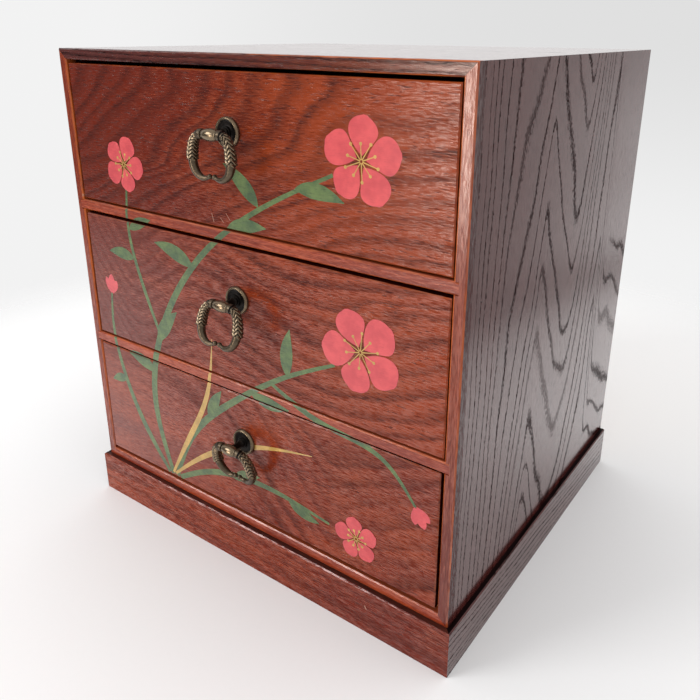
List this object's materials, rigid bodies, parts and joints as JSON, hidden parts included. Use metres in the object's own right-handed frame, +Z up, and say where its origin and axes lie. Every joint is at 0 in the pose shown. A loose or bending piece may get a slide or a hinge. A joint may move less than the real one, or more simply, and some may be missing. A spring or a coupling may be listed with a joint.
{
  "type": "small tansu chest",
  "caption": "Small tabletop tansu chest with drawers one above another in a lacquered carcass on a plinth, and a leaf-patterned ring pull on each drawer.",
  "frame": {"origin": "middle of the plinth's lower front edge, on the surface that the chest stands on", "axes": "+Z up, -Y towards the front where the drawers open, +X to the right seen from the front"},
  "size_m": [0.2454, 0.2262, 0.2654],
  "materials": {
    "lacquered_front": "clear red-brown lacquer over open-grained wood, glossy",
    "lacquered_side": "dark red-brown lacquer over open-grained wood, satin gloss",
    "plain_board": "plain board, stained",
    "drawer_wood": "plain pale wood, unfinished",
    "plywood": "thin plywood, unfinished",
    "bronze": "antique bronze, dark in the recesses and rubbed on the high places",
    "steel": "zinc-plated steel"
  },
  "bodies": {
    "carcass": {"left_side": "lacquered_side", "right_side": "lacquered_side", "top_board": "lacquered_side", "bottom_board": "plain_board", "back_panel": "plywood", "left_edging": "lacquered_front", "right_edging": "lacquered_front", "top_edging": "lacquered_front", "bottom_edging": "lacquered_front", "lower_rail": "lacquered_front", "upper_rail": "lacquered_front", "lower_divider": "plain_board", "upper_divider": "plain_board", "plinth_front": "lacquered_front", "plinth_left": "lacquered_side", "plinth_right": "lacquered_side", "plinth_back": "plain_board", "plinth_blocks": "plain_board"},
    "bottom_drawer": {"bottom_drawer_front": "lacquered_front", "bottom_drawer_left": "drawer_wood", "bottom_drawer_right": "drawer_wood", "bottom_drawer_back": "drawer_wood", "bottom_drawer_bottom": "plywood", "bottom_drawer_brads": "steel", "bottom_pull_rosette": "bronze", "bottom_pull_post": "bronze", "bottom_pull_nut": "steel"},
    "bottom_pull_ring": {"bottom_ring": "bronze"},
    "middle_drawer": {"middle_drawer_front": "lacquered_front", "middle_drawer_left": "drawer_wood", "middle_drawer_right": "drawer_wood", "middle_drawer_back": "drawer_wood", "middle_drawer_bottom": "plywood", "middle_drawer_brads": "steel", "middle_pull_rosette": "bronze", "middle_pull_post": "bronze", "middle_pull_nut": "steel"},
    "middle_pull_ring": {"middle_ring": "bronze"},
    "top_drawer": {"top_drawer_front": "lacquered_front", "top_drawer_left": "drawer_wood", "top_drawer_right": "drawer_wood", "top_drawer_back": "drawer_wood", "top_drawer_bottom": "plywood", "top_drawer_brads": "steel", "top_pull_rosette": "bronze", "top_pull_post": "bronze", "top_pull_nut": "steel"},
    "top_pull_ring": {"top_ring": "bronze"}
  },
  "joints": [
    {"name": "bottom_drawer_slide", "type": "slide", "parent": "carcass", "child": "bottom_drawer", "axis": [0, -1, 0], "range_m": [0, 0.16]},
    {"name": "bottom_ring_swing", "type": "hinge", "parent": "bottom_drawer", "child": "bottom_pull_ring", "pos_m": [-0.0006, -0.0075, 0.0761], "axis": [-1, 0, 0], "range_deg": [-14, 221]},
    {"name": "middle_drawer_slide", "type": "slide", "parent": "carcass", "child": "middle_drawer", "axis": [0, -1, 0], "range_m": [0, 0.16]},
    {"name": "middle_ring_swing", "type": "hinge", "parent": "middle_drawer", "child": "middle_pull_ring", "pos_m": [0.0003, -0.0075, 0.1537], "axis": [-1, 0, 0], "range_deg": [-41.5, 193.5]},
    {"name": "top_drawer_slide", "type": "slide", "parent": "carcass", "child": "top_drawer", "axis": [0, -1, 0], "range_m": [0, 0.16]},
    {"name": "top_ring_swing", "type": "hinge", "parent": "top_drawer", "child": "top_pull_ring", "pos_m": [0.0003, -0.0075, 0.2323], "axis": [-1, 0, 0], "range_deg": [-29.5, 205.5]}
  ]
}
